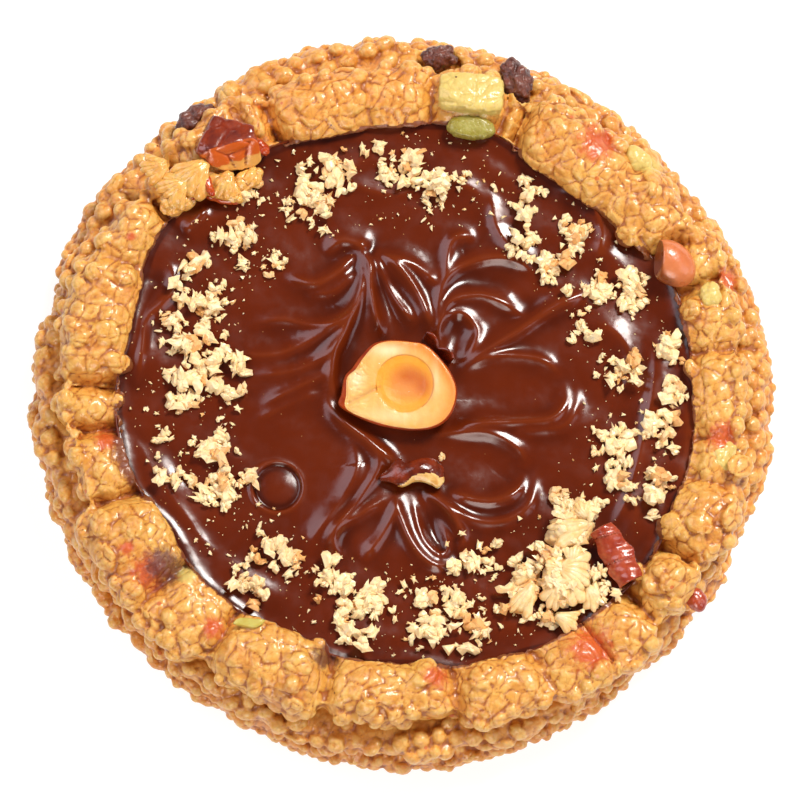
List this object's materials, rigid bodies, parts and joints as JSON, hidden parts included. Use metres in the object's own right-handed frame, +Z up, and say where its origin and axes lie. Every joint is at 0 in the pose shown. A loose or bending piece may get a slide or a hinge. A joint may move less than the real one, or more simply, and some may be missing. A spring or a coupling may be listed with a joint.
{
  "type": "hazelnut cookie",
  "caption": "Round thick-rimmed cookie with a pool of swirled chocolate, half a hazelnut in the middle, chopped nuts on top, and nuts and dried fruit baked into the rim",
  "frame": {"origin": "middle of the cookie's footprint, on the flat underside", "axes": "+Z up out of the chocolate side, +X to the right and +Y away from the viewer as the cookie is shown"},
  "size_m": [0.0894, 0.0892, 0.0162],
  "materials": {
    "crust": "baked dough, golden brown, slightly glossy",
    "chocolate": "set chocolate spread, glossy",
    "hazelnut": "cut hazelnut, satin",
    "nut_skin": "dark brown glazed nut skin, glossy",
    "almond": "toasted almond skin, satin",
    "pale_green": "pale green pistachio, satin",
    "green": "green pistachio, satin",
    "raisin": "wrinkled dark raisin, satin",
    "cranberry": "dried cranberry, glossy",
    "walnut": "pale chopped walnut, satin"
  },
  "bodies": {
    "root": {"crust": "crust", "chocolate": "chocolate", "hazelnut_half": "hazelnut", "skin_curl": "nut_skin", "skin_flap": "nut_skin", "glazed_nut_chunk": "nut_skin", "glazed_nut_chip": "hazelnut", "almond_piece": "almond", "pale_pistachio": "pale_green", "green_pistachio": "green", "raisin_north": "raisin", "raisin_top": "raisin", "raisin_northwest": "raisin", "cranberry_flake": "cranberry", "cranberry_bit": "cranberry", "walnut_upper": "walnut", "walnut_lower": "walnut", "pistachio_east": "pale_green", "pistachio_mideast": "pale_green", "pistachio_northeast": "pale_green", "pistachio_sliver": "pale_green"}
  },
  "joints": []
}
